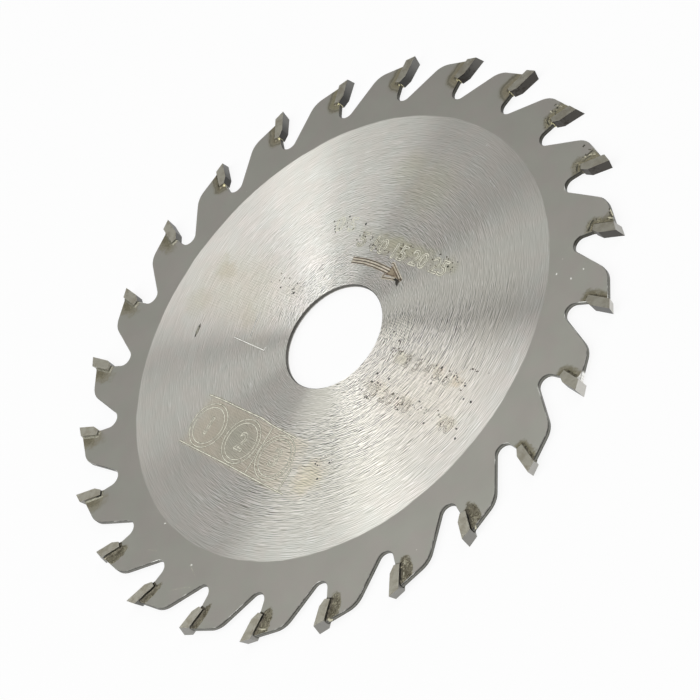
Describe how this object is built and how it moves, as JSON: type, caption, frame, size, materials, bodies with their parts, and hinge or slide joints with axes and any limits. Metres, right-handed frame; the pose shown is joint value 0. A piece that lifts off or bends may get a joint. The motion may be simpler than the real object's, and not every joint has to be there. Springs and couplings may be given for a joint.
{
  "type": "circular saw blade",
  "caption": "Small thin-plate circular saw blade with brazed carbide tips, alternate top bevels, deep round gullets and a plain round bore.",
  "frame": {"origin": "centre of the bore, in the middle of the plate's thickness", "axes": "+Z along the bore axis, out of the marked face; +X through the cutting edge of tip 1. Seen from +Z the blade cuts clockwise"},
  "size_m": [0.0846, 0.0846, 0.0015],
  "materials": {
    "plate_steel": "ground in fine rings inside, matt outside",
    "carbide": "ground, matt",
    "braze_alloy": "as brazed, dull"
  },
  "bodies": {
    "root": {"blade_body": "plate_steel", "carbide_tip_01": "carbide", "carbide_tip_02": "carbide", "carbide_tip_03": "carbide", "carbide_tip_04": "carbide", "carbide_tip_05": "carbide", "carbide_tip_06": "carbide", "carbide_tip_07": "carbide", "carbide_tip_08": "carbide", "carbide_tip_09": "carbide", "carbide_tip_10": "carbide", "carbide_tip_11": "carbide", "carbide_tip_12": "carbide", "carbide_tip_13": "carbide", "carbide_tip_14": "carbide", "carbide_tip_15": "carbide", "carbide_tip_16": "carbide", "carbide_tip_17": "carbide", "carbide_tip_18": "carbide", "carbide_tip_19": "carbide", "carbide_tip_20": "carbide", "carbide_tip_21": "carbide", "carbide_tip_22": "carbide", "carbide_tip_23": "carbide", "carbide_tip_24": "carbide", "braze_joint_01": "braze_alloy", "braze_joint_02": "braze_alloy", "braze_joint_03": "braze_alloy", "braze_joint_04": "braze_alloy", "braze_joint_05": "braze_alloy", "braze_joint_06": "braze_alloy", "braze_joint_07": "braze_alloy", "braze_joint_08": "braze_alloy", "braze_joint_09": "braze_alloy", "braze_joint_10": "braze_alloy", "braze_joint_11": "braze_alloy", "braze_joint_12": "braze_alloy", "braze_joint_13": "braze_alloy", "braze_joint_14": "braze_alloy", "braze_joint_15": "braze_alloy", "braze_joint_16": "braze_alloy", "braze_joint_17": "braze_alloy", "braze_joint_18": "braze_alloy", "braze_joint_19": "braze_alloy", "braze_joint_20": "braze_alloy", "braze_joint_21": "braze_alloy", "braze_joint_22": "braze_alloy", "braze_joint_23": "braze_alloy", "braze_joint_24": "braze_alloy"}
  },
  "joints": []
}
